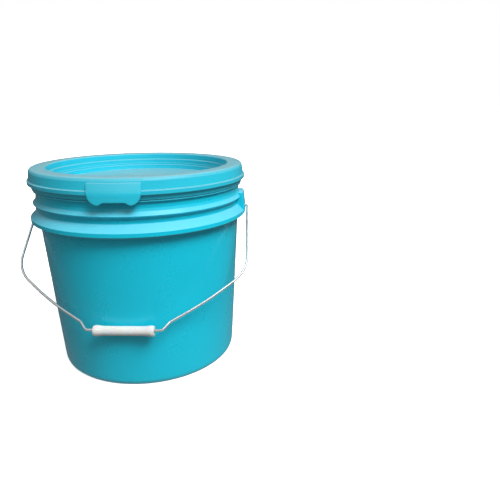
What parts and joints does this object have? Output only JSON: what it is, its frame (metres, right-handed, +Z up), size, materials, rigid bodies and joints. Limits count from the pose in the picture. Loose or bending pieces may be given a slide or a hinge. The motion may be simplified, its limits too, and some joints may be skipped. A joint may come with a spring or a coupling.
{
  "type": "fermenting bucket",
  "caption": "Round plastic fermenting pail with a ribbed neck, a press-on lid with a pull tab, and a swinging wire bail with a roller grip.",
  "frame": {"origin": "centre of the base, on the surface that the pail stands on", "axes": "+Z up along the pail's axis, -Y towards the front with the lid's pull tab, X through the two ears of the bail"},
  "size_m": [0.3238, 0.3115, 0.2914],
  "materials": {
    "pail_plastic": "satin moulded polyethylene",
    "lid_plastic": "satin moulded polyethylene",
    "seal_rubber": "soft matte seal",
    "bail_steel": "bright zinc-plated wire",
    "grip_plastic": "moulded white plastic"
  },
  "bodies": {
    "pail": {"pail_body": "pail_plastic"},
    "lid": {"lid": "lid_plastic", "lid_gasket": "seal_rubber"},
    "bail": {"bail_wire": "bail_steel"},
    "grip": {"grip_roller": "grip_plastic"}
  },
  "joints": [
    {"name": "lid_lift", "type": "slide", "parent": "pail", "child": "lid", "axis": [0, 0, 1], "range_m": [0, 0.08]},
    {"name": "bail_swing", "type": "hinge", "parent": "pail", "child": "bail", "pos_m": [0, 0, 0.2286], "axis": [-1, 0, 0], "range_deg": [0, 266.4]},
    {"name": "grip_spin", "type": "hinge", "parent": "bail", "child": "grip", "pos_m": [0.0015, -0.14492, 0.09251], "axis": [1, 0, 0], "continuous": true}
  ]
}
